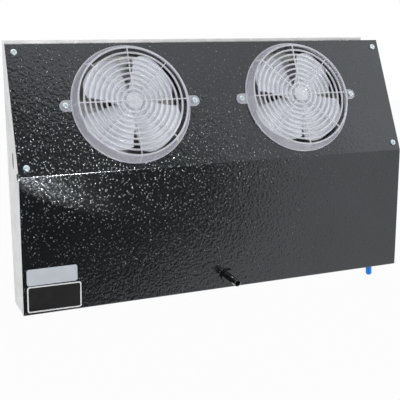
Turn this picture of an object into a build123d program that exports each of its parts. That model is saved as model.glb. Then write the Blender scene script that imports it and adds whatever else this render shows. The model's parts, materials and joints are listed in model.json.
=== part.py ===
from build123d import *
import os
from math import atan2, cos, hypot, sin, tan

# A slim two-fan unit cooler for a walk-in cold room, built upright: X to the right,
# the mounting face on Y = 0 with the front towards -Y, Z up.  Heights are counted from the
# front panel's bottom edge and moved at the end, so that the part's origin is the
# centre of the four mounting slots.  All sizes are in millimetres.

# ---- casing ----
casing_width = 750.0
top_height = 456.0        # front panel's top edge above its bottom edge
crease_height = 236.0     # where the fan face meets the pan face
top_depth = 27.0          # from the mounting face to the top edge
crease_depth = 106.0
bottom_depth = 87.0
sheet = 1.2               # all casing sheet metal
bend = 2.4                # outer bend radius of the casing sheets
seat = 0.3                # gap left between sheets that are screwed together
top_lip = 14.0            # front panel's lip against the back plate
gutter_depth = 10.0       # drip gutter along the pan's bottom edge
gutter_height = 20.0
flange = 22.0             # end panels' inward front flanges
flange_clear = 1.0        # kept between a front flange and the bend relief
flange_top_clear = 9.0    # kept below the fan face's top bend
flange_low_clear = 4.0    # kept above the drip gutter
back_flange = 14.0
back_flange_low = 12.0
back_flange_clear = 8.0   # kept below the front panel's lip
relief_height = 12.0      # bend relief in the end panels at the crease
relief_depth = 20.0
entry_slot_height = 28.0  # wiring entry in the left end panel
entry_slot_width = 10.0
entry_slot_level = 260.0
entry_slot_depth = 57.0

# ---- mounting ----
mount_height = 232.0      # centre of the slot pattern above the bottom edge
mount_spacing_x = 690.0
mount_spacing_z = 300.0
slot_width = 9.0
slot_length = 20.0
back_rise = 7.0           # back plate above the front panel's top edge
back_notch = 20.0         # cut from the rise at its right end
hem_height = 5.0
hem_slack = 0.01          # keeps the hem's bend just short of a half circle
back_screw_low = 30.0
back_screw_drop = 60.0    # below the front panel's top edge

# ---- fans ----
fan_offset = 166.0        # each fan's centre from the middle of the casing
fan_rise = 119.0          # up the fan face from the crease
orifice_radius = 97.0
collar_depth = 10.0
guard_radius = 109.0
guard_height = 20.0
guard_foot = 4.0          # width of the rim that stands on the casing
guard_wall = 2.2
guard_face_radius = 100.2
ring_count = 8
ring_first = 21.5
ring_pitch = 9.6
ring_width = 4.4          # each ring tapers from this width
ring_foot = 2.4           # to this one, where it stands on the ribs
ring_depth = 3.0
rib_count = 8
rib_width = 3.2
rib_depth = 3.0
disc_radius = 15.0
ear_spacing = 237.0
ear_width = 20.0

# ---- rotor and motor, measured outwards from the fan face ----
blade_count = 4
blade_radius = 93.0
blade_root_width = 38.0
blade_tip_width = 104.0
blade_corner = 16.0
blade_pitch = 17.0        # degrees
blade_rest = 45.0         # degrees that the first blade stands from the horizontal
blade_oversize = 1.3      # length of the blank's section over the blade's tip width
blade_set_back = 3.0      # moves the cambered sheet's middle onto the blade's plane
blade_camber = 5.0
blade_sheet = 1.6
blade_plane = -5.0
cup_radius = 22.0         # the rotor's moulded centre
cup_depth = 14.0
cup_wall = 2.4
hub_radius = 13.0
hub_rear_radius = 9.0
hub_neck_radius = 7.0
hub_length = 16.0
hub_collar = 3.0
hub_proud = 3.0           # neck in front of the cup's face
shaft_proud = 2.0         # shaft in front of the cup's face
shaft_radius = 3.0
fit = 0.05                # radial clearance of turning and sliding fits
motor_radius = 36.0
motor_rear = -52.0
motor_front = -27.0
can_chamfer = 3.5
can_end = 5.0             # the can's rear wall
cover_sheet = 3.0
cover_edge = 1.0
boss_radius = 11.0
boss_length = 5.0
boss_flare = 3.0
bearing_radius = 6.5
bearing_length = 6.0
rear_bearing = 6.0        # its rear face in front of the can's
shaft_gap = 1.0           # around the shaft away from its bearings
motor_screw_circle = 22.0
motor_screw_depth = 8.0
strap_sheet = 1.2
strap_width = 22.0
strap_leg = 107.0         # inner face of each leg from the fan's axis
strap_foot = 128.0

# ---- coil ----
tube_radius = 4.7625
tube_pitch_y = 38.1
tube_pitch_z = 33.0
tube_rows = 3
coil_centre_y = -42.7
coil_bottom = 33.0
fin_length = 600.0
fin_height_y = 76.2
fin_pitch = 8.0
fin_sheet = 0.4
sheet_gap = 2.0           # between the last fin and the tube sheet
sheet_margin = 5.0        # tube sheets around the fins
sheet_flange = 14.0
coil_screw_in = 6.0       # across the tube sheet's flange
coil_screw_end = 12.0     # from the fins' ends
bend_margin = 0.4         # straight stretch in the middle of each return bend
tube_end = 10.0           # straight tube beyond the tube sheets

# ---- refrigerant stubs ----
suction_radius = 4.7625
suction_x = 330.0
suction_drop = -19.0
stub_elbow = 14.0
cap_wall = 1.2
cap_end = 3.0
cap_taper = 0.4           # chamfer of a cap's end over its radius
cap_length = 18.0
liquid_radius = 3.175
liquid_x = 350.0
liquid_drop = 12.0

# ---- drain ----
drain_radius = 6.35
drain_thread_radius = 8.0 # the root that the nut is screwed onto
drain_thread_length = 7.0
drain_bore = 4.8
drain_length = 45.0
drain_end = 1.0           # height of the tip's chamfer
drain_tip_radius = 5.55
drain_rise = 23.0
drain_nut_width = 24.0
drain_nut_height = 6.0
drain_flange_radius = 12.5
drain_flange_height = 3.0
gasket_height = 1.5

# ---- fasteners ----
screw_radius = 2.1
screw_hole = 2.4
screw_head_radius = 5.7
screw_head_height = 3.2
small_head_radius = 4.0
small_head_height = 2.4
head_taper = 0.8          # a head's top radius over its bottom radius
screw_reach = 8.0         # screw tips behind the casing's outer face
corner_inset_x = 14.0
corner_inset_top = 15.6
corner_inset_crease = 15.3

# ---- terminal block ----
block_size = (18.0, 16.0, 64.0)
block_x = -346.0
block_level = 330.0
block_ways = 5
block_recess = 4.0
recess_width = 10.8
recess_share = 0.7        # height of each recess over the ways' pitch

# ---- derived places ----
half = casing_width / 2
slope = atan2(crease_depth - top_depth, top_height - crease_height)
slope_length = hypot(crease_depth - top_depth, top_height - crease_height)
lean = atan2(crease_depth - bottom_depth, crease_height)
lean_length = hypot(crease_depth - bottom_depth, crease_height)
fan_face = Plane(
    origin=(0, -crease_depth, crease_height),
    x_dir=(1, 0, 0),
    z_dir=(0, -cos(slope), sin(slope)),
)
pan_face = Plane(
    origin=(0, -bottom_depth, 0),
    x_dir=(1, 0, 0),
    z_dir=(0, -cos(lean), -sin(lean)),
)
ear_place = ear_spacing / 2
strap_rear = motor_rear - strap_sheet
cover_front = motor_front + cover_sheet
cup_front = blade_plane + cup_depth / 2
sheet_x = fin_length / 2 + sheet_gap
fins_height = tube_rows * tube_pitch_z
tube_stop = sheet_x + sheet + tube_end


def keep(name, *solids):
    """Write a node, moved from the bottom edge's height to the mounting pattern's."""
    moved = [Pos(0, 0, -mount_height) * solid for solid in solids]
    shape = moved[0] if len(moved) == 1 else Compound(children=moved)
    export_step(shape, f"parts/{name}.step")


def profile(points):
    """A face in the YZ plane from its corners."""
    return Plane.YZ * make_face(Polyline(*points, close=True))


def prism(points, low, high):
    """A YZ outline extruded from X = low to X = high."""
    return extrude(Pos(low, 0, 0) * profile(points), high - low, dir=(1, 0, 0))


def folded(points, radius, thickness):
    """The section of a folded sheet to the left of its outer path."""
    path = FilletPolyline(*points, radius=radius)
    return make_face(offset(path, amount=thickness, side=Side.LEFT, closed=True))


def rod(radius, low, high):
    """A cylinder along Z between two heights."""
    return Pos(0, 0, (low + high) / 2) * Cylinder(radius, high - low)


def turned(points):
    """A solid of revolution about Z from its (radius, height) corners."""
    return revolve(Plane.XZ * make_face(Polyline(*points, close=True)), Axis.Z)


def on_fan_face(x, rise, part):
    """Place a part on the fan face, its Z along the outward normal."""
    return fan_face.location * Pos(x, rise, 0) * part


def on_pan_face(x, rise, part):
    """Place a part on the pan face, its Z along the outward normal."""
    return pan_face.location * Pos(x, rise, 0) * part


def screw(head_radius, head_height, seat_height, tip):
    """A pan-head screw whose head stands on seat_height and whose shank ends at tip."""
    head = turned([
        (0, seat_height),
        (head_radius, seat_height),
        (head_radius * head_taper, seat_height + head_height),
        (0, seat_height + head_height),
    ])
    return head + rod(screw_radius, tip, seat_height)


# ---- casing pieces ----
def corner_places():
    rises = (corner_inset_crease, slope_length - corner_inset_top)
    return [(side * (half - corner_inset_x), rise) for side in (-1, 1) for rise in rises]


def guard_screw_places():
    return [
        (centre + side * ear_place, fan_rise)
        for centre in (-fan_offset, fan_offset)
        for side in (-1, 1)
    ]


def make_front_panel():
    """One folded sheet: top lip and return, fan face, pan face and drip gutter."""
    lip = sheet + seat
    shift = gutter_height * tan(lean)
    section = folded(
        [
            (-lip, top_height - top_lip),
            (-lip, top_height),
            (-top_depth, top_height),
            (-crease_depth, crease_height),
            (-bottom_depth, 0),
            (-bottom_depth + gutter_depth, 0),
            (-bottom_depth + gutter_depth - shift, gutter_height),
        ],
        bend,
        sheet,
    )
    panel = extrude(Pos(-half, 0, 0) * (Plane.YZ * section), casing_width, dir=(1, 0, 0))
    # the top return ends inside the end panels
    notch = sheet + seat
    return_depth = top_depth - bend - sheet
    for side in (-1, 1):
        panel -= Pos(side * (half - notch / 2), -return_depth / 2, top_height) * Box(
            notch, return_depth, 3 * top_lip
        )
    for x in (-fan_offset, fan_offset):
        panel -= on_fan_face(x, fan_rise, rod(orifice_radius, -collar_depth, sheet))
        collar = rod(orifice_radius + sheet, -collar_depth, -sheet / 2)
        collar -= rod(orifice_radius, -collar_depth, 0)
        panel += on_fan_face(x, fan_rise, collar)
    for x, rise in corner_places() + guard_screw_places():
        panel -= on_fan_face(x, rise, rod(screw_hole, -2 * sheet, sheet))
    panel -= on_pan_face(0, drain_rise, rod(drain_thread_radius + seat, -2 * sheet, sheet))
    return panel


def make_end_panel(side):
    """An end plate with inward flanges behind the front panel and on the back plate."""
    shift = sheet * tan(slope)
    top = top_height - sheet
    inner = sheet / cos(slope)
    inner_low = sheet / cos(lean)
    floor = sheet + seat
    low_y = -bottom_depth + inner_low - floor * tan(lean)
    corners = [
        (0, floor),
        (low_y, floor),
        (-crease_depth + inner, crease_height),
        (-top_depth + inner - shift, top),
    ]
    if side < 0:
        # the left plate rises behind the lip to the back plate's top edge
        corners.append((-top_depth + bend + sheet + seat, top))
        corners.append((0, top_height + back_rise))
    else:
        corners.append((0, top))
    plate = prism(corners, -sheet / 2, sheet / 2)
    # clear of the inside of the front panel's bends
    plate = chamfer(plate.edges().filter_by(Axis.X).sort_by(Axis.Y)[1:3], sheet)
    # bend relief at the crease
    relief_front = -crease_depth
    relief_back = relief_front + relief_depth - relief_height / 2
    plate -= Pos(0, (relief_front + relief_back) / 2, crease_height) * Box(
        2 * sheet, relief_depth - relief_height / 2, relief_height
    )
    plate -= Pos(0, relief_back, crease_height) * Rot(0, 90, 0) * Cylinder(
        relief_height / 2, 2 * sheet
    )
    # slit for the gutter's upstand
    slit_front = -bottom_depth + gutter_depth - sheet - 2 * seat
    slit_back = -bottom_depth + gutter_depth + 2 * seat
    slit_top = gutter_height + 2 * seat
    plate -= prism(
        [
            (slit_front, 0),
            (slit_back, 0),
            (slit_back - slit_top * tan(lean), slit_top),
            (slit_front - slit_top * tan(lean), slit_top),
        ],
        -sheet,
        sheet,
    )
    if side < 0:
        slot = SlotOverall(entry_slot_height, entry_slot_width, rotation=90)
        plate -= extrude(
            Plane.YZ * Pos(-entry_slot_depth, entry_slot_level) * slot, sheet, both=True
        )
    plate = Pos(side * (half - sheet / 2), 0, 0) * plate
    inside = half - sheet
    middle = side * (inside - flange / 2 + sheet / 2)
    # fan-face flange, from just above the relief to below the top edge
    low, high = relief_height / 2 + flange_clear, slope_length - flange_top_clear
    upper = Pos(0, (low + high) / 2, -1.5 * sheet) * Box(flange + sheet, high - low, sheet)
    upper = on_fan_face(middle, 0, upper)
    # pan-face flange, from above the gutter to below the relief
    low = gutter_height + flange_low_clear
    high = lean_length - relief_height / 2 - flange_clear
    lower = Pos(0, (low + high) / 2, -1.5 * sheet) * Box(flange + sheet, high - low, sheet)
    lower = on_pan_face(middle, 0, lower)
    low, high = back_flange_low, top_height - top_lip - back_flange_clear
    rear = Pos(side * (inside - back_flange / 2 + sheet / 2), -1.5 * sheet, (low + high) / 2)
    plate += upper
    plate += lower
    plate += rear * Box(back_flange + sheet, sheet, high - low)
    for x, rise in corner_places():
        plate -= on_fan_face(x, rise, rod(screw_hole, -4 * sheet, sheet))
    for x, z in back_screw_places():
        plate -= Pos(x, 0, z) * Rot(90, 0, 0) * rod(screw_hole, -sheet, 4 * sheet)
    return plate


def back_screw_places():
    x = half - sheet - back_flange / 2
    heights = (back_screw_low, top_height - back_screw_drop)
    return [(side * x, z) for side in (-1, 1) for z in heights]


def coil_screw_places():
    x = sheet_x + sheet + coil_screw_in
    low = coil_bottom + coil_screw_end
    high = coil_bottom + fins_height - coil_screw_end
    return [(side * x, z) for side in (-1, 1) for z in (low, high)]


def make_back_plate():
    """The flat mounting plate with four slots and a hemmed top edge."""
    width = casing_width - 2 * (sheet + seat)
    top = top_height + back_rise
    section = folded(
        [(0, 0), (0, top), (-2 * sheet - seat, top), (-2 * sheet - seat, top - hem_height)],
        sheet + seat / 2 - hem_slack,
        sheet,
    )
    plate = extrude(Pos(-width / 2, 0, 0) * (Plane.YZ * section), width, dir=(1, 0, 0))
    notch_width = back_notch + seat
    plate -= Pos(half - notch_width / 2, 0, top_height + top_lip / 2) * Box(
        notch_width, 6 * sheet, top_lip
    )
    slot = extrude(SlotOverall(slot_length, slot_width), 2 * sheet, both=True)
    for x in (-mount_spacing_x / 2, mount_spacing_x / 2):
        for z in (mount_height - mount_spacing_z / 2, mount_height + mount_spacing_z / 2):
            plate -= Pos(x, 0, z) * Rot(90, 0, 0) * slot
    for x, z in back_screw_places() + coil_screw_places():
        plate -= Pos(x, 0, z) * Rot(90, 0, 0) * rod(screw_hole, -sheet, 2 * sheet)
    return plate


# ---- fans ----
def make_guard():
    """A domed guard: sloping wall, concentric rings over radial ribs, and two ears."""
    top = guard_height
    under = top - guard_wall
    rib_top = top - ring_depth
    rib_under = rib_top - rib_depth
    face_inner = guard_face_radius - ring_width
    parts = [
        turned([
            (guard_radius - guard_foot, 0),
            (guard_radius, 0),
            (guard_radius, guard_wall),
            (guard_face_radius, top),
            (face_inner, top),
            (face_inner, under),
            (guard_face_radius - guard_wall, under),
        ])
    ]
    for index in range(ring_count):
        radius = ring_first + ring_pitch * index
        parts.append(turned([
            (radius - ring_width / 2, top),
            (radius + ring_width / 2, top),
            (radius + ring_foot / 2, rib_top),
            (radius - ring_foot / 2, rib_top),
        ]))
    parts.append(rod(disc_radius, rib_top - rib_depth / 2, top))
    rib = make_face(Polyline(
        (disc_radius - rib_width / 2, rib_top),
        (guard_face_radius - guard_wall / 2, rib_top),
        (guard_radius - guard_foot / 2, 0),
        (guard_radius - guard_foot, 0),
        (guard_face_radius - ring_width, rib_under),
        (disc_radius - rib_width / 2, rib_under),
        close=True,
    ))
    rib = extrude(Plane.XZ * rib, rib_width / 2, both=True)
    parts += [Rot(0, 0, index * 360 / rib_count) * rib for index in range(rib_count)]
    inner = guard_radius - guard_foot / 2
    arm = Pos((inner + ear_place) / 2, 0, 0) * Rectangle(ear_place - inner, ear_width)
    ear = extrude(arm + Pos(ear_place, 0) * Circle(ear_width / 2), guard_wall)
    ear -= Pos(ear_place, 0, 0) * rod(screw_hole, -1, guard_wall + 1)
    parts += [Rot(0, 0, turn) * ear for turn in (0, 180)]
    return parts[0].fuse(*parts[1:])


def make_blades():
    """A moulded rotor: a cup closed at the front, with cambered, pitched blades around it."""
    chord = blade_oversize * blade_tip_width
    camber = SagittaArc((-chord / 2, 0), (chord / 2, 0), blade_camber)
    section = make_face(offset(camber, amount=blade_sheet, side=Side.LEFT, closed=True))
    blank = extrude(Plane.YZ * section, blade_radius + blade_camber, dir=(1, 0, 0))
    blank = Rot(blade_pitch, 0, 0) * Pos(0, 0, -blade_set_back) * blank
    root = cup_radius - cup_wall
    reach = blade_radius + blade_camber
    outline = make_face(Polyline(
        (root, -blade_root_width / 2),
        (reach, -blade_tip_width / 2),
        (reach, blade_tip_width / 2),
        (root, blade_root_width / 2),
        close=True,
    ))
    outline &= Circle(blade_radius)
    tips = outline.vertices().sort_by(Axis.X)[-2:]
    outline = fillet(tips, blade_corner)
    blade = blank & extrude(outline, cup_depth + blade_tip_width / 2, both=True)
    rotor = rod(cup_radius, -cup_depth / 2, cup_depth / 2)
    for index in range(blade_count):
        rotor += Rot(0, 0, index * 360 / blade_count + blade_rest) * blade
    rotor -= rod(cup_radius - cup_wall, -2 * cup_depth, cup_depth / 2 - cup_wall)
    rotor -= rod(hub_neck_radius + fit, 0, cup_depth)
    return Pos(0, 0, blade_plane) * rotor


def make_hub():
    """A turned metal hub: collar behind the cup's face, neck through it, bored for the shaft."""
    back = cup_front - cup_wall
    front = cup_front + hub_proud
    return turned([
        (shaft_radius + fit, front - hub_length),
        (hub_rear_radius, front - hub_length),
        (hub_rear_radius, back - hub_collar),
        (hub_radius, back - hub_collar),
        (hub_radius, back),
        (hub_neck_radius, back),
        (hub_neck_radius, front),
        (shaft_radius + fit, front),
    ])


def make_shaft():
    return rod(shaft_radius, motor_rear + rear_bearing, cup_front + shaft_proud)


def make_motor_housing():
    """The motor's can, open at the front for its cover, with the rear bearing's seat."""
    can = rod(motor_radius, motor_rear, motor_front)
    can = chamfer(can.edges().group_by(Axis.Z)[0], can_chamfer)
    can -= rod(shaft_radius + shaft_gap, motor_rear + can_end, motor_front)
    seat_low = motor_rear + rear_bearing
    can -= rod(bearing_radius + fit, seat_low, seat_low + bearing_length)
    hole = rod(screw_radius + fit, motor_rear, motor_rear + motor_screw_depth)
    for side in (-1, 1):
        can -= Pos(0, side * motor_screw_circle, 0) * hole
    return can


def make_motor_cover():
    """The front cover with its bearing boss."""
    boss_front = cover_front + boss_length
    cover = turned([
        (shaft_radius + shaft_gap, motor_front),
        (motor_radius, motor_front),
        (motor_radius, cover_front - cover_edge),
        (motor_radius - cover_edge, cover_front),
        (boss_radius + boss_flare, cover_front),
        (boss_radius, boss_front),
        (shaft_radius + shaft_gap, boss_front),
    ])
    return cover - rod(bearing_radius + fit, boss_front - bearing_length, boss_front)


def make_bearings():
    """The rear and front sleeve bearings of one motor."""
    rear = motor_rear + rear_bearing
    front = cover_front + boss_length - bearing_length
    sleeves = []
    for low in (rear, front):
        sleeve = rod(bearing_radius, low, low + bearing_length)
        sleeves.append(sleeve - rod(shaft_radius + fit, low, low + bearing_length))
    return sleeves


def make_strap():
    """A strap behind the motor, its feet on the back of the fan face."""
    section = folded(
        [
            (strap_foot, -sheet),
            (strap_leg, -sheet),
            (strap_leg, motor_rear),
            (-strap_leg, motor_rear),
            (-strap_leg, -sheet),
            (-strap_foot, -sheet),
        ],
        bend,
        strap_sheet,
    )
    strap = extrude(Plane.XZ * section, strap_width / 2, both=True)
    for side in (-1, 1):
        strap -= Pos(side * ear_place, 0, 0) * rod(screw_hole, -4 * sheet, 0)
        strap -= Pos(0, side * motor_screw_circle, 0) * rod(
            screw_hole, strap_rear - sheet, motor_rear
        )
    return strap


# ---- coil and piping ----
def tube_places():
    """The tubes' (Y, Z) places in the order in which the refrigerant passes them."""
    near = coil_centre_y + tube_pitch_y / 2
    far = coil_centre_y - tube_pitch_y / 2
    rows = [coil_bottom + tube_pitch_z * (row + 0.5) for row in range(tube_rows)]
    return [(near, z) for z in rows] + [(far, z) for z in reversed(rows)]


def make_coil_tube():
    """One serpentine tube: straight passes joined by return bends."""
    places = tube_places()
    reach = tube_stop + tube_pitch_z / 2
    points = [(tube_stop, *places[0])]
    side = -1
    for index, place in enumerate(places):
        last = index == len(places) - 1
        end = tube_stop if last and side > 0 else side * reach
        points.append((end, *place))
        if not last:
            points.append((end, *places[index + 1]))
            side = -side
    radius = tube_pitch_z / 2 - bend_margin
    path = FilletPolyline(*points, radius=radius)
    ring = Plane(origin=points[0], z_dir=(-1, 0, 0)) * Circle(tube_radius)
    return sweep(ring, path=path)


def make_fins():
    """Flat fins across the air stream."""
    count = int(fin_length / fin_pitch) + 1
    start = -(count - 1) * fin_pitch / 2
    centre_z = coil_bottom + fins_height / 2
    return [
        Pos(start + fin_pitch * index, coil_centre_y, centre_z)
        * Box(fin_sheet, fin_height_y, fins_height)
        for index in range(count)
    ]


def make_tube_sheet(side):
    """An end plate of the coil, flanged outwards onto the back plate."""
    height = fins_height + 2 * sheet_margin
    centre_z = coil_bottom + fins_height / 2
    front = coil_centre_y - fin_height_y / 2
    depth = -front - sheet
    plate = Pos(side * (sheet_x + sheet / 2), -sheet - depth / 2, centre_z) * Box(
        sheet, depth, height
    )
    plate += Pos(side * (sheet_x + sheet_flange / 2), -1.5 * sheet, centre_z) * Box(
        sheet_flange, sheet, height
    )
    for y, z in tube_places():
        plate -= Pos(0, y, z) * Rot(0, 90, 0) * Cylinder(tube_radius + fit, 2 * half)
    for x, z in coil_screw_places():
        plate -= Pos(x, 0, z) * Rot(90, 0, 0) * rod(screw_hole, -sheet, 4 * sheet)
    return plate


def make_stub(place, x, drop, radius):
    """A tube from a coil tube's end, out to X = x and down to the height drop."""
    start = (tube_stop, *place)
    path = FilletPolyline(start, (x, *place), (x, place[0], drop), radius=stub_elbow)
    return sweep(Plane(origin=start, z_dir=(1, 0, 0)) * Circle(radius), path=path)


def make_stub_cap(place, x, drop, radius):
    """A moulded cap over a stub's open end."""
    outer = radius + fit + cap_wall
    low = drop - seat - cap_end
    cap = rod(outer, low, low + cap_length)
    cap = chamfer(cap.edges().group_by(Axis.Z)[0], outer * cap_taper)
    cap -= rod(radius + fit, drop - seat, low + cap_length)
    return Pos(x, place[0], 0) * cap


def make_drain():
    """The drain fitting: flange inside the pan, threaded root, and the tube beyond the nut."""
    inner = -sheet - gasket_height
    tube = turned([
        (drain_bore, inner - drain_flange_height),
        (drain_flange_radius, inner - drain_flange_height),
        (drain_flange_radius, inner),
        (drain_thread_radius, inner),
        (drain_thread_radius, drain_thread_length),
        (drain_radius, drain_thread_length),
        (drain_radius, drain_length - drain_end),
        (drain_tip_radius, drain_length),
        (drain_bore, drain_length),
    ])
    return on_pan_face(0, drain_rise, tube)


def make_drain_gasket():
    ring = rod(drain_flange_radius, -sheet - gasket_height, -sheet)
    ring -= rod(drain_thread_radius + seat, -sheet - gasket_height, -sheet)
    return on_pan_face(0, drain_rise, ring)


def make_drain_nut():
    nut = extrude(RegularPolygon(drain_nut_width / 2, 6, major_radius=False), drain_nut_height)
    nut -= rod(drain_thread_radius + fit, 0, drain_nut_height)
    return on_pan_face(0, drain_rise, nut)


def make_terminal_block():
    """A moulded block on the back plate, with a recess for each way's screw."""
    width, depth, height = block_size
    block = Box(width, depth, height)
    pitch = height / block_ways
    for index in range(block_ways):
        z = (index - (block_ways - 1) / 2) * pitch
        recess = Box(recess_width, 2 * block_recess, recess_share * pitch)
        block -= Pos(0, -depth / 2, z) * recess
    return Pos(block_x, -sheet - depth / 2, block_level) * block


def main():
    os.makedirs("parts", exist_ok=True)
    keep("back_plate", make_back_plate())
    keep("front_panel", make_front_panel())
    for side, word in ((-1, "left"), (1, "right")):
        keep(f"{word}_end_panel", make_end_panel(side))
        keep(f"{word}_tube_sheet", make_tube_sheet(side))
        x = side * fan_offset
        pieces = {
            "fan_guard": [make_guard()],
            "fan_blades": [make_blades()],
            "fan_hub": [make_hub()],
            "motor_shaft": [make_shaft()],
            "motor_housing": [make_motor_housing()],
            "motor_cover": [make_motor_cover()],
            "motor_bearings": make_bearings(),
            "motor_strap": [make_strap()],
        }
        for name, solids in pieces.items():
            keep(f"{word}_{name}", *[on_fan_face(x, fan_rise, s) for s in solids])
    keep("coil_tube", make_coil_tube())
    keep("coil_fins", *make_fins())
    places = tube_places()
    keep("suction_stub", make_stub(places[-1], suction_x, suction_drop, suction_radius))
    keep("suction_cap", make_stub_cap(places[-1], suction_x, suction_drop, suction_radius))
    keep("liquid_stub", make_stub(places[0], liquid_x, liquid_drop, liquid_radius))
    keep("liquid_cap", make_stub_cap(places[0], liquid_x, liquid_drop, liquid_radius))
    keep("drain_tube", make_drain())
    keep("drain_gasket", make_drain_gasket())
    keep("drain_nut", make_drain_nut())
    keep("terminal_block", make_terminal_block())
    large = (screw_head_radius, screw_head_height)
    small = (small_head_radius, small_head_height)
    keep("corner_screws", *[
        on_fan_face(x, rise, screw(*large, 0, -screw_reach)) for x, rise in corner_places()
    ])
    keep("guard_screws", *[
        on_fan_face(x, rise, screw(*large, guard_wall, -screw_reach))
        for x, rise in guard_screw_places()
    ])
    turn = Rot(90, 0, 0)
    keep("back_screws", *[
        Pos(x, 0, z) * turn * screw(*small, 2 * sheet, seat)
        for x, z in back_screw_places()
    ])
    keep("coil_screws", *[
        Pos(x, 0, z) * turn * screw(*small, 2 * sheet, seat)
        for x, z in coil_screw_places()
    ])
    motor_screw = Rot(180, 0, 0) * screw(*small, -strap_rear, -motor_rear - rear_bearing)
    keep("motor_screws", *[
        on_fan_face(x, fan_rise + side * motor_screw_circle, motor_screw)
        for x in (-fan_offset, fan_offset)
        for side in (-1, 1)
    ])


main()
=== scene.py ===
import json
from math import acos, cos, pi, radians, sin, tan

import bmesh
import bpy
from mathutils import Matrix, Vector


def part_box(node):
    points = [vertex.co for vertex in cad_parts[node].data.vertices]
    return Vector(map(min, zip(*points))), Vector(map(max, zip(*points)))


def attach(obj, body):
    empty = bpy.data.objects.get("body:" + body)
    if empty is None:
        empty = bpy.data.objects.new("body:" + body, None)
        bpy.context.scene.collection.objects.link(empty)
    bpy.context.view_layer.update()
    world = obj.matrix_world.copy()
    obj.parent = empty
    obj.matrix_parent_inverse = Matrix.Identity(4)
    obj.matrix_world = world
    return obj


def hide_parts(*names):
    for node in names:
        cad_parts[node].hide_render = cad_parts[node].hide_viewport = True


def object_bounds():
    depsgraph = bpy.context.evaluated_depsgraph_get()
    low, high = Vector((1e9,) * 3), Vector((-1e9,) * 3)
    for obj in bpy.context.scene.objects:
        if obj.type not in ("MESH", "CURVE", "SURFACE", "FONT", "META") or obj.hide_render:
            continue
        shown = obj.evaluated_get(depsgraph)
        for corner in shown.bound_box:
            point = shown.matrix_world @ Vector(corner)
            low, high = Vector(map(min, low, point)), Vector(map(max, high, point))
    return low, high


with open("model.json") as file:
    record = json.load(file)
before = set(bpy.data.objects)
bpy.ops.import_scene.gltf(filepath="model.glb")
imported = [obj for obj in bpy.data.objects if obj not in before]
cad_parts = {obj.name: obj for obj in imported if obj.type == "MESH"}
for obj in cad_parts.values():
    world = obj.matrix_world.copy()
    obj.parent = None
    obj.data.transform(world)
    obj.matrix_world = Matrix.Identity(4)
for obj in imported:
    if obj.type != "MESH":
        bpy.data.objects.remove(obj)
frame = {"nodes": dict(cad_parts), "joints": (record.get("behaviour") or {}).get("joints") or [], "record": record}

# The looks of a two-fan unit cooler: a black embossed front with clear guards over two rotors,
# on a zinc-coated casing. Lengths are in metres, apart from the sections that say millimetres.

# ---- values read from the frame ----
cad_low, cad_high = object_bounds()
panel_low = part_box("front_panel")[0]
joints = {joint["name"]: joint for joint in frame["joints"]}
mounts = {mount["name"]: mount for mount in frame["record"]["mounts"]}
fan_out = Vector(joints["left_fan_spin"]["axis"]).normalized()
pan_out = Vector(mounts["drain_spigot"]["axis"]).normalized()

millimetre = 0.001
weld_distance = 0.001 * millimetre


# ---- node helpers ----
def new_material(name):
    """An empty node material, with its node tree and its Principled shader."""
    material = bpy.data.materials.new(name)
    material.use_nodes = True
    nodes = material.node_tree.nodes
    nodes.clear()
    output = nodes.new("ShaderNodeOutputMaterial")
    shader = nodes.new("ShaderNodeBsdfPrincipled")
    material.node_tree.links.new(shader.outputs[0], output.inputs[0])
    return material, material.node_tree, shader


def link(tree, source, target):
    tree.links.new(source, target)


def object_point(tree, scale=(1.0, 1.0, 1.0)):
    """The surface point in metres, stretched by scale."""
    place = tree.nodes.new("ShaderNodeTexCoord")
    mapping = tree.nodes.new("ShaderNodeMapping")
    mapping.inputs["Scale"].default_value = scale
    link(tree, place.outputs["Object"], mapping.inputs["Vector"])
    return mapping.outputs["Vector"]


def noise(tree, point, scale, detail=2.0, rough=0.5):
    """Cloudy noise from 0 to 1, with about scale waves to the metre."""
    node = tree.nodes.new("ShaderNodeTexNoise")
    node.inputs["Scale"].default_value = scale
    node.inputs["Detail"].default_value = detail
    node.inputs["Roughness"].default_value = rough
    link(tree, point, node.inputs["Vector"])
    return node.outputs["Fac"]


def cells(tree, point, scale):
    """Scattered cells: the distance from each one's centre, and each one's random value."""
    node = tree.nodes.new("ShaderNodeTexVoronoi")
    node.inputs["Scale"].default_value = scale
    link(tree, point, node.inputs["Vector"])
    split = tree.nodes.new("ShaderNodeSeparateColor")
    link(tree, node.outputs["Color"], split.inputs[0])
    return node.outputs["Distance"], split.outputs[0]


def ramp(tree, value, stops):
    """A colour ramp through (place, colour) stops."""
    node = tree.nodes.new("ShaderNodeValToRGB")
    elements = node.color_ramp.elements
    while len(elements) < len(stops):
        elements.new(0.5)
    for element, (place, colour) in zip(elements, stops):
        element.position = place
        element.color = (*colour, 1.0)
    link(tree, value, node.inputs["Fac"])
    return node.outputs["Color"]


def remap(tree, value, low, high, out_low, out_high, easing="LINEAR"):
    """The value from low to high spread over out_low to out_high, and clamped there."""
    node = tree.nodes.new("ShaderNodeMapRange")
    node.interpolation_type = easing
    node.inputs["From Min"].default_value = low
    node.inputs["From Max"].default_value = high
    node.inputs["To Min"].default_value = out_low
    node.inputs["To Max"].default_value = out_high
    link(tree, value, node.inputs["Value"])
    return node.outputs["Result"]


def maths(tree, operation, a, b):
    """A maths node on two sockets or numbers."""
    node = tree.nodes.new("ShaderNodeMath")
    node.operation = operation
    for socket, value in zip(node.inputs, (a, b)):
        if isinstance(value, float):
            socket.default_value = value
        else:
            link(tree, value, socket)
    return node.outputs[0]


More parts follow.
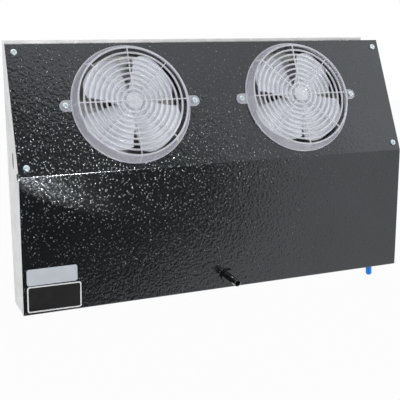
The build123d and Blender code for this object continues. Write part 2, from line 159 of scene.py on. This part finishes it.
def mix(tree, factor, first, second):
    """Two numbers or sockets mixed by a factor: first at 0, second at 1."""
    node = tree.nodes.new("ShaderNodeMix")
    node.data_type = "FLOAT"
    link(tree, factor, node.inputs[0])
    for socket, value in ((node.inputs[2], first), (node.inputs[3], second)):
        if isinstance(value, float):
            socket.default_value = value
        else:
            link(tree, value, socket)
    return node.outputs[0]


def bump(tree, shader, height, strength, distance):
    """A bump of the shader's normal by a height, distance metres deep."""
    node = tree.nodes.new("ShaderNodeBump")
    node.inputs["Strength"].default_value = strength
    node.inputs["Distance"].default_value = distance
    link(tree, height, node.inputs["Height"])
    link(tree, node.outputs["Normal"], shader.inputs["Normal"])


def mottle(tree, shader, value, dark, light):
    """A base colour that drifts from dark to light with a noise value."""
    link(tree, ramp(tree, value, [(0.3, dark), (0.7, light)]), shader.inputs["Base Color"])


def uneven_gloss(tree, shader, value, smoothest, roughest):
    """A roughness that drifts between two values with a noise value."""
    link(tree, remap(tree, value, 0.3, 0.7, smoothest, roughest), shader.inputs["Roughness"])


# ---- materials ----
def pimples(tree, point, scale, width):
    """Raised round pimples, one to a cell, most of them low and a few tall: (height, cover)."""
    lowest = 0.15
    distance, chance = cells(tree, point, scale)
    cover = remap(tree, distance, 0.0, width, 1.0, 0.0, "SMOOTHSTEP")
    tall = maths(tree, "ADD", maths(tree, "POWER", chance, 1.5), lowest)
    return maths(tree, "MULTIPLY", cover, tall), cover


def black_coat():
    """Glossy black coat over stucco-embossed sheet: fine grain with scattered, duller pimples."""
    material, tree, shader = new_material("black_coat")
    point = object_point(tree)
    grain = maths(tree, "MULTIPLY", noise(tree, point, 200.0, detail=1.0), 0.58)
    pimple, cover = pimples(tree, point, 215.0, 0.34)
    height = maths(tree, "ADD", grain, maths(tree, "MULTIPLY", pimple, 0.63))
    tone = ramp(tree, noise(tree, point, 9.0), [
        (0.35, (0.005, 0.006, 0.007)),
        (0.7, (0.009, 0.010, 0.012)),
    ])
    link(tree, tone, shader.inputs["Base Color"])
    smooth_coat, pimple_top = 0.13, 0.34
    link(tree, remap(tree, cover, 0.0, 0.3, smooth_coat, pimple_top), shader.inputs["Roughness"])
    shader.inputs["Specular Tint"].default_value = (0.90, 0.95, 1.0, 1.0)
    bump(tree, shader, height, 1.0, 0.5 * millimetre)
    return material


def galvanised():
    """Light grey zinc-coated sheet with faint spangle, soft smudges and fine dulled scratches."""
    material, tree, shader = new_material("galvanised_sheet")
    point = object_point(tree)
    spangle = cells(tree, point, 70.0)[1]
    smudge = remap(tree, noise(tree, point, 14.0, 5.0, 0.6), 0.4, 0.65, 0.0, 0.2)
    upright_streaks = object_point(tree, (1.0, 1.0, 0.06))
    scratch = remap(tree, noise(tree, upright_streaks, 420.0), 0.6, 0.7, 0.0, 0.25)
    dull = maths(tree, "ADD", smudge, scratch)
    value = maths(tree, "SUBTRACT", maths(tree, "MULTIPLY", spangle, 0.4), dull)
    tone = ramp(tree, maths(tree, "ADD", value, 0.45), [
        (0.0, (0.47, 0.48, 0.48)),
        (0.5, (0.58, 0.59, 0.585)),
        (1.0, (0.66, 0.66, 0.65)),
    ])
    link(tree, tone, shader.inputs["Base Color"])
    shader.inputs["Metallic"].default_value = 0.35
    uneven_gloss(tree, shader, noise(tree, point, 30.0), 0.42, 0.55)
    bump(tree, shader, noise(tree, point, 900.0), 0.15, 0.1 * millimetre)
    return material


def clear_plastic(name, dark, light, alpha):
    """Clear moulded plastic with a lavender cast, more or less see-through by its alpha."""
    material, tree, shader = new_material(name)
    point = object_point(tree)
    mottle(tree, shader, noise(tree, point, 18.0), dark, light)
    shader.inputs["Alpha"].default_value = alpha
    shader.inputs["IOR"].default_value = 1.58
    uneven_gloss(tree, shader, noise(tree, point, 40.0), 0.06, 0.14)
    bump(tree, shader, noise(tree, point, 35.0), 0.08, 0.2 * millimetre)
    return material


def moulded(name, dark, light, smoothest, roughest, grain=700.0, gloss=0.5):
    """A moulded plastic, a rubber, a paint or a print, with a fine grain."""
    material, tree, shader = new_material(name)
    point = object_point(tree)
    mottle(tree, shader, noise(tree, point, 25.0), dark, light)
    uneven_gloss(tree, shader, noise(tree, point, 80.0), smoothest, roughest)
    shader.inputs["Specular IOR Level"].default_value = gloss
    bump(tree, shader, noise(tree, point, grain), 0.2, 0.08 * millimetre)
    return material


def metal(name, dark, light, smoothest, roughest, metallic=1.0):
    """A metal with soft tone changes and a fine grain."""
    material, tree, shader = new_material(name)
    point = object_point(tree)
    mottle(tree, shader, noise(tree, point, 60.0, detail=4.0), dark, light)
    shader.inputs["Metallic"].default_value = metallic
    uneven_gloss(tree, shader, noise(tree, point, 150.0), smoothest, roughest)
    bump(tree, shader, noise(tree, point, 800.0), 0.15, 0.05 * millimetre)
    return material


def make_materials():
    """Every material by name: the record's slots, a painted-shade copy and a painted-highlight copy of the clear
    one for the guards, the labels.
    """
    return {
        "black_coat": black_coat(),
        "galvanised_sheet": galvanised(),
        "clear_plastic": clear_plastic("clear_plastic", (0.78, 0.79, 0.91), (0.90, 0.91, 1.0), 0.3),
        # The grille's copy of the clear plastic is darker and less see-through than the wall: painted shade for
        # the round rings and beads, which bend the light.
        "clear_grille_painted_shade": clear_plastic("clear_grille_painted_shade", (0.70, 0.71, 0.77), (0.84, 0.85, 0.90), 0.5),
        # The ribs' copy of the clear plastic is lighter and denser than the wall: painted highlight, so the ribs
        # read as bright lines.
        "clear_rib_painted_highlight": clear_plastic("clear_rib_painted_highlight", (0.86, 0.86, 0.92), (0.95, 0.95, 1.0), 0.85),
        "rotor_plastic": moulded("rotor_plastic", (0.58, 0.61, 0.67), (0.76, 0.78, 0.85), 0.34, 0.46),
        "zinc": metal("zinc", (0.38, 0.46, 0.48), (0.52, 0.60, 0.62), 0.3, 0.42, metallic=0.8),
        "bright_steel": metal("bright_steel", (0.5, 0.5, 0.51), (0.6, 0.6, 0.61), 0.2, 0.3),
        "motor_paint": moulded("motor_paint", (0.03, 0.03, 0.033), (0.045, 0.045, 0.05), 0.4, 0.5),
        "bronze": metal("bronze", (0.5, 0.33, 0.15), (0.6, 0.4, 0.2), 0.35, 0.5),
        "copper": metal("copper", (0.62, 0.28, 0.16), (0.74, 0.38, 0.24), 0.28, 0.45),
        "fin_aluminium": metal("fin_aluminium", (0.7, 0.71, 0.72), (0.8, 0.81, 0.82), 0.3, 0.45),
        "blue_plastic": moulded("blue_plastic", (0.0, 0.2, 0.84), (0.0, 0.24, 0.92), 0.35, 0.45),
        "black_plastic": moulded(
            "black_plastic", (0.008, 0.008, 0.009), (0.014, 0.014, 0.015), 0.12, 0.2),
        "black_rubber": moulded(
            "black_rubber", (0.015, 0.015, 0.015), (0.025, 0.025, 0.025), 0.7, 0.8),
        "ivory_plastic": moulded("ivory_plastic", (0.66, 0.62, 0.5), (0.72, 0.68, 0.56), 0.4, 0.5),
        "label_grey": moulded(
            "label_grey", (0.48, 0.51, 0.56), (0.54, 0.58, 0.63), 0.35, 0.5, grain=300.0),
        "label_white": moulded(
            "label_white", (0.74, 0.74, 0.75), (0.80, 0.80, 0.81), 0.3, 0.4, grain=300.0),
        "label_black": moulded(
            "label_black", (0.006, 0.006, 0.007), (0.011, 0.011, 0.012), 0.3, 0.42,
            grain=300.0, gloss=0.25),
    }


def dress_cad_nodes():
    """Each CAD node gets the material of its slot in the record."""
    for part in frame["record"]["subparts"]:
        node = frame["nodes"][part["node"]]
        node.data.materials.clear()
        node.data.materials.append(materials[part["material_slot"]])


# ---- mesh helpers ----
def add_piece(name, mesh, material, body):
    """A named piece with one material that rides on a body."""
    piece = bpy.data.objects.new(name, mesh)
    bpy.context.collection.objects.link(piece)
    mesh.materials.append(material)
    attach(piece, body)
    return piece


def finish_mesh(bm, name, smooth_angle):
    """Turn a bmesh into a mesh that is shaded smooth over edges up to an angle in degrees."""
    bmesh.ops.remove_doubles(bm, verts=bm.verts, dist=weld_distance)
    bmesh.ops.recalc_face_normals(bm, faces=bm.faces)
    limit = radians(smooth_angle)
    for face in bm.faces:
        face.smooth = True
    for edge in bm.edges:
        edge.smooth = len(edge.link_faces) == 2 and edge.calc_face_angle(0.0) < limit
    mesh = bpy.data.meshes.new(name)
    bm.to_mesh(mesh)
    bm.free()
    return mesh


def upright(place, out):
    """The frame at a place with X along the casing and Z outwards."""
    along = Vector((1, 0, 0))
    turn = Matrix((along, out.cross(along), out)).transposed().to_4x4()
    return Matrix.Translation(place) @ turn


def scaled(points):
    """Points in millimetres as points in metres."""
    return [tuple(value * millimetre for value in point) for point in points]


def strip(bm, here, there):
    """Quads between two rows of vertices."""
    for a, b, c, d in zip(here, here[1:], there, there[1:]):
        bm.faces.new((a, c, d, b))


def band(bm, here, there):
    """Quads between two closed rings of vertices."""
    strip(bm, here + here[:1], there + there[:1])


def turned_rows(bm, line, segments):
    """A (radius, height) line's vertices at each step round Z."""
    rows = []
    for step in range(segments):
        angle = 2 * pi * step / segments
        rows.append([bm.verts.new((r * cos(angle), r * sin(angle), h)) for r, h in line])
    return rows


def lathe(bm, section, segments=96):
    """Turn a closed (radius, height) section about Z."""
    rows = turned_rows(bm, section, segments)
    for here, there in zip(rows, rows[1:] + rows[:1]):
        band(bm, here, there)


def cap_lathe(bm, section, segments=96):
    """Turn an open (radius, height) line whose two ends lie on the axis."""
    rows = turned_rows(bm, section[1:-1], segments)
    first = bm.verts.new((0, 0, section[0][1]))
    last = bm.verts.new((0, 0, section[-1][1]))
    for here, there in zip(rows, rows[1:] + rows[:1]):
        bm.faces.new((first, there[0], here[0]))
        bm.faces.new((last, here[-1], there[-1]))
        strip(bm, here, there)


def prism(bm, outline, low, high):
    """A plate with an (x, y) outline, from Z = low to Z = high."""
    bottom = [bm.verts.new((x, y, low)) for x, y in outline]
    top = [bm.verts.new((x, y, high)) for x, y in outline]
    bm.faces.new(bottom)
    bm.faces.new(top)
    band(bm, bottom, top)


def bead_section(radius, height, width, depth, points=10):
    """A rounded bead's closed section: half an ellipse over a flat base."""
    arc = [pi * step / (points - 1) for step in range(points)]
    return [(radius + cos(a) * width / 2, height - depth + sin(a) * depth) for a in arc]


def sweep_bar(bm, line, width, height, points=7):
    """A bar with a rounded top along an (x, z) line in the XZ plane; returns its vertices."""
    sections = []
    for index, (x, z) in enumerate(line):
        before = line[max(index - 1, 0)]
        after = line[min(index + 1, len(line) - 1)]
        tangent = Vector((after[0] - before[0], 0, after[1] - before[1])).normalized()
        up = Vector((-tangent.z, 0, tangent.x))
        ring = []
        for step in range(points):
            angle = pi * step / (points - 1)
            side = Vector((0, cos(angle) * width / 2, 0))
            rise = up * (sin(angle) * height - height)
            ring.append(bm.verts.new(Vector((x, 0, z)) + side + rise))
        sections.append(ring)
    for here, there in zip(sections, sections[1:]):
        band(bm, here, there)
    bm.faces.new(sections[0])
    bm.faces.new(sections[-1])
    return [vertex for ring in sections for vertex in ring]


# ---- fan guards: sizes in millimetres, radii from the fan's axis, heights from the fan face ----
guard_rim = 109.0
guard_face = 100.2
guard_height = 20.0
foot_height = 3.2
ring_count = 8
first_ring_radius = 21.5
ring_step = 9.6
ring_width, ring_depth = 3.8, 2.6
face_bead_width, face_bead_depth = 3.4, 2.4
foot_bead_width, foot_bead_depth = 1.8, 1.8
rib_count = 8
rib_width, rib_depth = 1.9, 3.6
ear_reach = 118.5
ear_half_width = 10.0
ear_thickness = 2.4


def fan_place(joint):
    """The frame at a fan's centre on the fan face: X along the casing, Z outwards."""
    return upright(Vector(joint["pos_m"]), Vector(joint["axis"]).normalized())


def draw_ear(bm, side):
    """A screw's ear with a round end, on one side of the guard's foot."""
    steps = 14
    inner = guard_rim - 2.5
    outline = [(inner, -ear_half_width), (ear_reach, -ear_half_width)]
    for step in range(1, steps):
        angle = pi * step / steps - pi / 2
        outline.append((ear_reach + ear_half_width * cos(angle), ear_half_width * sin(angle)))
    outline += [(ear_reach, ear_half_width), (inner, ear_half_width)]
    prism(bm, scaled((side * x, side * y) for x, y in outline), 0.0, ear_thickness * millimetre)


def draw_guard_wall(bm):
    """The guard's foot, its tapered wall with a rolled front edge, and its two ears."""
    rim, face, top = guard_rim, guard_face, guard_height
    lathe(bm, scaled([
        (rim - 4.6, 0.0), (rim - 0.3, 0.0), (rim, 0.4), (rim, 2.2),
        (rim - 0.5, 3.0), (rim - 1.6, foot_height), (rim - 2.3, 3.9),
        (face + 0.6, top - 1.6), (face - 0.2, top - 0.5), (face - 1.2, top - 0.1),
        (face - 2.6, top - 0.5), (face - 2.4, top - 1.8), (face - 2.2, top - 2.4),
        (rim - 4.4, foot_height), (rim - 4.8, 2.2),
    ]))
    for side in (-1, 1):
        draw_ear(bm, side)


def draw_guard_grille(bm):
    """The guard's rings, the beads on its two edges, and the rippled disc at its centre."""
    rim, face, top = guard_rim, guard_face, guard_height
    for index in range(ring_count):
        radius = first_ring_radius + ring_step * index
        lathe(bm, scaled(bead_section(radius, top - 0.2, ring_width, ring_depth)))
    face_bead = bead_section(face - face_bead_width / 2, top, face_bead_width, face_bead_depth)
    foot_bead = bead_section(rim - foot_bead_width / 2, 2.9, foot_bead_width, foot_bead_depth, points=8)
    lathe(bm, scaled(face_bead))
    lathe(bm, scaled(foot_bead))
    cap_lathe(bm, scaled([
        (0, top - 0.9), (2.0, top - 0.4), (3.4, top - 0.5), (5.0, top - 1.7), (6.6, top - 1.7),
        (8.0, top - 0.5), (9.4, top - 0.5), (11.0, top - 1.8), (12.2, top - 1.7), (13.4, top - 0.3),
        (14.6, top - 0.3), (15.0, top - 0.9), (15.0, top - 3.0), (13.2, top - 3.2), (0, top - 3.2),
    ]))


def draw_guard_ribs(bm):
    """The guard's ribs, each from the centre over the rings and down the wall to the foot."""
    rim, face, top = guard_rim, guard_face, guard_height
    line = scaled([
        (12, top - 0.6), (60, top - 0.5), (face - 2.5, top - 0.3), (face - 0.4, top - 0.9),
        (face + 1.1, top - 3.2), (rim - 3.4, 4.4), (rim - 2.4, 2.6),
    ])
    for index in range(rib_count):
        bar = sweep_bar(bm, line, rib_width * millimetre, rib_depth * millimetre)
        turn = Matrix.Rotation(index * 2 * pi / rib_count, 3, "Z")
        bmesh.ops.rotate(bm, verts=bar, cent=(0, 0, 0), matrix=turn)


def make_guard(word, joint):
    """A clear moulded guard in place of the CAD one: its wall with ears, its grille, its ribs."""
    for part, draw, material, smooth_angle in (
        ("wall", draw_guard_wall, "clear_plastic", 40.0),
        # The grille wears the darker copy of the clear plastic, painted shade.
        ("grille", draw_guard_grille, "clear_grille_painted_shade", 50.0),
        # The ribs wear the lighter copy of the clear plastic, a painted highlight.
        ("ribs", draw_guard_ribs, "clear_rib_painted_highlight", 50.0),
    ):
        bm = bmesh.new()
        draw(bm)
        mesh = finish_mesh(bm, f"{word}_guard_{part}", smooth_angle)
        mesh.transform(fan_place(joint))
        piece = add_piece(f"{word}_guard_{part}", mesh, materials[material], "casing")
        if part == "wall":
            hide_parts(f"{word}_fan_guard")


# ---- rotors: sizes in millimetres, radii from the fan's axis, heights from the fan face ----
blade_count = 4
blade_root, blade_tip = 20.5, 93.0
blade_height = -5.0
root_half_width, tip_half_width = 19.0, 50.0
corner_cut = 14.0
root_pitch, pitch_loss = 20.0, 4.5
camber_rise, camber_half_chord, camber_drop = 5.0, 67.6, 1.6
blade_thickness = 1.6
edge_thinning = 0.55
blade_rows, blade_columns = 16, 14


def blade_point(along, across):
    """A point of a blade's front skin, along 0 to 1 from the cup, across -1 to 1."""
    y = across * (root_half_width + (tip_half_width - root_half_width) * along)
    inner = (blade_root ** 2 - min(abs(y), 0.8 * blade_root) ** 2) ** 0.5
    outer = (blade_tip ** 2 - y * y) ** 0.5 - corner_cut * abs(across) ** 7
    pitch = radians(root_pitch - pitch_loss * along)
    camber = camber_rise * (1 - (y / camber_half_chord) ** 2) - camber_drop
    return inner + (outer - inner) * along, y, blade_height + camber + y * tan(pitch)


def round_edge(grid):
    """The vertices round the edge of a grid of rows, in order."""
    out_along = [row[0] for row in grid[:-1]]
    back_along = [row[-1] for row in grid[:0:-1]]
    return out_along + grid[-1][:-1] + back_along + grid[0][:0:-1]


def draw_blade(bm, turn):
    """A twisted, cambered blade that thins towards its two long edges, turned about Z."""
    front = []
    back = []
    places = [2 * column / blade_columns - 1 for column in range(blade_columns + 1)]
    for row in range(blade_rows + 1):
        skin = [blade_point(row / blade_rows, across) for across in places]
        under = [
            (x, y, z - blade_thickness * (1 - edge_thinning * abs(across) ** 6))
            for (x, y, z), across in zip(skin, places)
        ]
        front.append([bm.verts.new(point) for point in scaled(skin)])
        back.append([bm.verts.new(point) for point in scaled(under)])
    for side in (front, back):
        for here, there in zip(side, side[1:]):
            strip(bm, here, there)
    band(bm, round_edge(front), round_edge(back))
    vertices = [vertex for row in front + back for vertex in row]
    bmesh.ops.rotate(bm, verts=vertices, cent=(0, 0, 0), matrix=Matrix.Rotation(turn, 3, "Z"))


def make_rotor(word, joint):
    """The rotor moulding in place of the CAD blades: a rounded cup and its broad blades."""
    bm = bmesh.new()
    lathe(bm, scaled([
        (7.1, 2.0), (17.5, 2.0), (20.0, 1.5), (21.5, 0.4), (22.0, -1.5), (22.0, -12.0),
        (19.6, -12.0), (19.6, -1.6), (18.4, -0.4), (7.1, -0.4),
    ]), 72)
    for index in range(blade_count):
        draw_blade(bm, pi / 4 + index * 2 * pi / blade_count)
    mesh = finish_mesh(bm, f"{word}_rotor", 45.0)
    mesh.transform(fan_place(joint))
    piece = add_piece(f"{word}_rotor", mesh, materials["rotor_plastic"], f"{word}_fan")
    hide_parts(f"{word}_fan_blades")


# ---- screws ----
def islands(node):
    """The vertex places of each separate solid of a node."""
    bm = bmesh.new()
    bm.from_mesh(node.data)
    bmesh.ops.remove_doubles(bm, verts=bm.verts, dist=weld_distance)
    seen = set()
    groups = []
    for start in bm.verts:
        if start.index in seen:
            continue
        seen.add(start.index)
        group = []
        queue = [start]
        while queue:
            vertex = queue.pop()
            group.append(vertex.co.copy())
            for edge in vertex.link_edges:
                other = edge.other_vert(vertex)
                if other.index not in seen:
                    seen.add(other.index)
                    queue.append(other)
        groups.append(group)
    bm.free()
    return groups


def screw_places(node, out):
    """Each screw's seat, head radius and head height, from its vertices and outward direction."""
    places = []
    for group in islands(node):
        middle = sum(group, Vector()) / len(group)
        offsets = [point - middle for point in group]
        radii = [(offset - out * offset.dot(out)).length for offset in offsets]
        heights = [point.dot(out) for point in group]
        radius = max(radii)
        seat = min(height for height, r in zip(heights, radii) if r > 0.97 * radius)
        places.append((middle + out * (seat - middle.dot(out)), radius, max(heights) - seat))
    return places


def cut_mesh(mesh, cutter):
    """The mesh with the cutter's volume taken out."""
    body = bpy.data.objects.new("body", mesh)
    tool = bpy.data.objects.new("tool", cutter)
    for thing in (body, tool):
        bpy.context.collection.objects.link(thing)
    cut = body.modifiers.new("cut", "BOOLEAN")
    cut.operation = "DIFFERENCE"
    cut.solver = "EXACT"
    cut.object = tool
    cut.use_self = True
    depsgraph = bpy.context.evaluated_depsgraph_get()
    result = bpy.data.meshes.new_from_object(body.evaluated_get(depsgraph))
    for thing in (body, tool):
        bpy.data.objects.remove(thing)
    return result


def cross_recess(radius, height, turn):
    """The cutter for a cross recess: two crossed bars that narrow downwards and stand proud."""
    arm_width, arm_length, depth = 0.17 * radius, 2 * 0.56 * radius, 0.55 * height
    foot_share = 0.55
    middle = height - depth / 2 + 0.05 * height
    bm = bmesh.new()
    for quarter in range(2):
        bar = bmesh.ops.create_cube(bm, size=1.0)["verts"]
        bmesh.ops.scale(bm, verts=bar, vec=(arm_length, arm_width, depth))
        for vertex in bar:
            if vertex.co.z < 0:
                vertex.co.x *= foot_share
        bmesh.ops.translate(bm, verts=bar, vec=(0, 0, middle))
        spin = Matrix.Rotation(turn + quarter * pi / 2, 3, "Z")
        bmesh.ops.rotate(bm, verts=bar, cent=(0, 0, 0), matrix=spin)
    cross = bpy.data.meshes.new("cross")
    bm.to_mesh(cross)
    bm.free()
    return cross


def make_screw_mesh(radius, height, turn):
    """A pan head with a rolled edge and a cross recess, its seat at the origin."""
    shares = [
        (0, 0), (0.9, 0), (1, 0.06), (1, 0.28), (0.985, 0.5), (0.93, 0.72),
        (0.82, 0.89), (0.62, 0.98), (0.4, 1), (0, 1),
    ]
    bm = bmesh.new()
    cap_lathe(bm, [(radius * r, height * h) for r, h in shares], 40)
    return cut_mesh(finish_mesh(bm, "head", 50.0), cross_recess(radius, height, turn))


def make_screws(node_name, out):
    """Cross-recessed pan heads in place of a node's plain ones, each turned its own way."""
    first_turn, turn_step = 0.5, 1.1
    for index, (seat, radius, height) in enumerate(screw_places(frame["nodes"][node_name], out)):
        mesh = make_screw_mesh(radius, height, first_turn + turn_step * index)
        mesh.transform(upright(seat, out))
        piece = add_piece(f"{node_name}_{index + 1}", mesh, materials["zinc"], "casing")
        if index == 0:
            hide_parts(node_name)


# ---- blank labels ----
label_ply = 0.16 * millimetre
label_corner = 4.0 * millimetre


def pan_distance():
    """The outward distance of the pan face along its normal."""
    mesh = frame["nodes"]["front_panel"].data
    flat = [face for face in mesh.polygons if face.normal.dot(pan_out) > 0.9999]
    return max(mesh.vertices[index].co.dot(pan_out) for face in flat for index in face.vertices)


def rounded_outline(width, height, corner, steps=6):
    """A rectangle's outline with round corners, about its centre."""
    outline = []
    for quarter, (sx, sy) in enumerate(((1, 1), (-1, 1), (-1, -1), (1, -1))):
        x = sx * (width / 2 - corner)
        y = sy * (height / 2 - corner)
        for step in range(steps + 1):
            angle = (quarter + step / steps) * pi / 2
            outline.append((x + corner * cos(angle), y + corner * sin(angle)))
    return outline


def make_label(name, centre, size, turn, gap, layers):
    """A blank label on the pan face, from stacked layers of (inset, material name).

    Its centre is measured from the panel's lower left corner, and its gap is the space under it.
    """
    x = panel_low.x + centre[0]
    z = panel_low.z + centre[1]
    y = (pan_distance() - z * pan_out.z) / pan_out.y
    place = upright(Vector((x, y, z)), pan_out) @ Matrix.Rotation(turn, 4, "Z")
    for index, (inset, material) in enumerate(layers):
        bm = bmesh.new()
        low = gap + label_ply * index
        width, height = (side - 2 * inset for side in size)
        prism(bm, rounded_outline(width, height, label_corner - 0.5 * inset), low, low + label_ply)
        mesh = finish_mesh(bm, f"{name}_{index + 1}", 30.0)
        mesh.transform(place)
        add_piece(f"{name}_{index + 1}", mesh, materials[material], "casing")


# ---- stage, light and camera ----
def make_floor():
    """A pale floor well below the unit, which hangs free of it."""
    size = 30.0
    drop = 0.4
    bpy.ops.mesh.primitive_plane_add(size=size, location=(0, 0, cad_low.z - drop))
    floor = bpy.context.object
    floor.name = "floor"
    material, tree, shader = new_material("floor")
    shader.inputs["Base Color"].default_value = (0.8, 0.8, 0.8, 1)
    shader.inputs["Roughness"].default_value = 0.9
    glow = tree.nodes.new("ShaderNodeEmission")
    ray = tree.nodes.new("ShaderNodeLightPath")
    shown = tree.nodes.new("ShaderNodeMixShader")
    link(tree, maths(tree, "MULTIPLY", ray.outputs["Is Camera Ray"], 0.96), shown.inputs[0])
    link(tree, shader.outputs[0], shown.inputs[1])
    link(tree, glow.outputs[0], shown.inputs[2])
    link(tree, shown.outputs[0], tree.nodes["Material Output"].inputs[0])
    floor.data.materials.append(material)
    floor.visible_glossy = False


def toward(tree, x, y, angle):
    """How far a direction points to a compass angle in degrees, 0 being along X."""
    across = maths(tree, "MULTIPLY", x, cos(radians(angle)))
    return maths(tree, "ADD", across, maths(tree, "MULTIPLY", y, sin(radians(angle))))


def studio_glow(tree):
    """The studio that gloss reflects: dark, with a bright right wall, left wall and ceiling."""
    base_glow, wall_glow = 0.05, 1.58
    place = tree.nodes.new("ShaderNodeTexCoord")
    split = tree.nodes.new("ShaderNodeSeparateXYZ")
    link(tree, place.outputs["Generated"], split.inputs[0])
    x, y, z = split.outputs
    below = maths(tree, "MAXIMUM", maths(tree, "SUBTRACT", -0.34, z), 0.0)
    to_right = maths(tree, "ADD", toward(tree, x, y, 26.5), maths(tree, "MULTIPLY", below, 1.4))
    right_wall = remap(tree, to_right, -0.02, 0.015, 0.0, 1.0)
    left_wall = remap(tree, toward(tree, x, y, 120.0), -0.05, 0.15, 0.0, 1.0)
    slant = maths(tree, "ADD", z, maths(tree, "MULTIPLY", x, 0.414))
    ceiling = remap(tree, slant, 0.665, 0.695, 0.0, 1.0)
    ceiling = maths(tree, "MULTIPLY", ceiling, maths(tree, "SUBTRACT", 1.5, x))
    walls = maths(tree, "MAXIMUM", right_wall, left_wall)
    bright = maths(tree, "MAXIMUM", walls, ceiling)
    return maths(tree, "ADD", maths(tree, "MULTIPLY", bright, wall_glow), base_glow)


def make_world():
    """White to the camera, the studio to gloss, and an even soft light to all else."""
    camera_white, soft_light = 1.0, 0.45
    world = bpy.data.worlds.new("studio")
    bpy.context.scene.world = world
    world.use_nodes = True
    tree = world.node_tree
    background = tree.nodes["Background"]
    background.inputs["Color"].default_value = (1, 1, 1, 1)
    ray = tree.nodes.new("ShaderNodeLightPath")
    lit = mix(tree, ray.outputs["Is Glossy Ray"], soft_light, studio_glow(tree))
    seen = mix(tree, ray.outputs["Is Camera Ray"], lit, camera_white)
    link(tree, seen, background.inputs["Strength"])


def add_lamp(data, place, aim):
    """A lamp object at a place, shining along a direction."""
    lamp = bpy.data.objects.new(data.name, data)
    lamp.location = place
    lamp.rotation_euler = aim.to_track_quat("-Z", "Y").to_euler()
    bpy.context.collection.objects.link(lamp)
    return lamp


def make_area_lamp(name, place, size, power):
    """A rectangular lamp that shines at the unit's middle."""
    data = bpy.data.lights.new(name, "AREA")
    data.shape = "RECTANGLE"
    data.size, data.size_y = size
    data.energy = power
    return add_lamp(data, place, -Vector(place))


def only_coat(lamp):
    """Keep a lamp to the front panel's gloss: it lights nothing else and adds no diffuse light."""
    lamp.visible_diffuse = False
    lamp.light_linking.receiver_collection = coat_collection


def make_wedge():
    """A low spot whose cone ends in a slanting line across the pan face, below its left crease."""
    crease_height = 0.236
    place = Vector((-0.18, -1.37, -0.56))
    energy, edge_blend, lamp_radius = 62.0, 0.03, 0.012
    line_start = Vector((cad_low.x, -0.105, panel_low.z + crease_height - 0.009))
    line_end = Vector((cad_low.x + 0.156, -0.098, panel_low.z + crease_height - 0.077))
    to_start = (line_start - place).normalized()
    to_end = (line_end - place).normalized()
    middle = (to_start + to_end).normalized()
    upwards = to_start.cross(to_end).normalized()
    if upwards.z < 0:
        upwards = -upwards
    cone = radians(20.0)
    tilt = acos(cos(cone) / middle.dot(to_start))
    data = bpy.data.lights.new("wedge", "SPOT")
    data.energy = energy
    data.spot_size = 2 * cone
    data.spot_blend = edge_blend
    data.shadow_soft_size = lamp_radius
    return add_lamp(data, place, middle * cos(tilt) + upwards * sin(tilt))


def make_camera():
    """A view from the left and a little above, looking slightly down."""
    place = Vector((-0.5812, -1.3818, 0.1676))
    yaw, pitch, roll = 0.3924, 0.1010, -0.0271
    forward = Vector((sin(yaw) * cos(pitch), cos(yaw) * cos(pitch), -sin(pitch)))
    right = forward.cross(Vector((0, 0, 1))).normalized()
    up = right.cross(forward)
    turned = cos(roll) * right + sin(roll) * up
    risen = -sin(roll) * right + cos(roll) * up
    data = bpy.data.cameras.new("camera")
    data.lens = 70.25
    data.sensor_width = 36.0
    data.shift_x = -0.0026
    data.shift_y = -0.1217
    camera = bpy.data.objects.new("camera", data)
    facing = Matrix((turned, risen, -forward)).transposed().to_4x4()
    camera.matrix_world = Matrix.Translation(place) @ facing
    bpy.context.collection.objects.link(camera)
    bpy.context.scene.camera = camera


# ---- the build ----
materials = make_materials()
dress_cad_nodes()
for node_name in ("corner_screws", "guard_screws"):
    make_screws(node_name, fan_out)
for word in ("left", "right"):
    make_guard(word, joints[f"{word}_fan_spin"])
    make_rotor(word, joints[f"{word}_fan_spin"])
make_label(
    "label_pale", centre=(0.050, 0.0656), size=(0.086, 0.0285), turn=0.0,
    gap=0.02 * millimetre, layers=[(0, "label_grey")],
)
make_label(
    "label_dark", centre=(0.053, 0.0268), size=(0.0925, 0.0455), turn=-0.01,
    gap=0.2 * millimetre, layers=[(0, "label_white"), (2.2 * millimetre, "label_black")],
)

coat_collection = bpy.data.collections.new("coat")
coat_collection.objects.link(frame["nodes"]["front_panel"])
make_floor()
make_world()
make_area_lamp("key", (-1.2, -1.6, 1.6), (0.9, 0.9), 7.0)
make_area_lamp("fill", (1.8, -1.2, 0.8), (1.2, 1.6), 5.0)
make_area_lamp("front", (-0.1, -2.0, 0.45), (0.4, 0.4), 14.0)
only_coat(make_area_lamp("glint", (0.15, -1.9, 0.38), (0.12, 0.12), 105.0))
only_coat(make_wedge())
make_camera()
bpy.context.scene.view_settings.view_transform = "Standard"
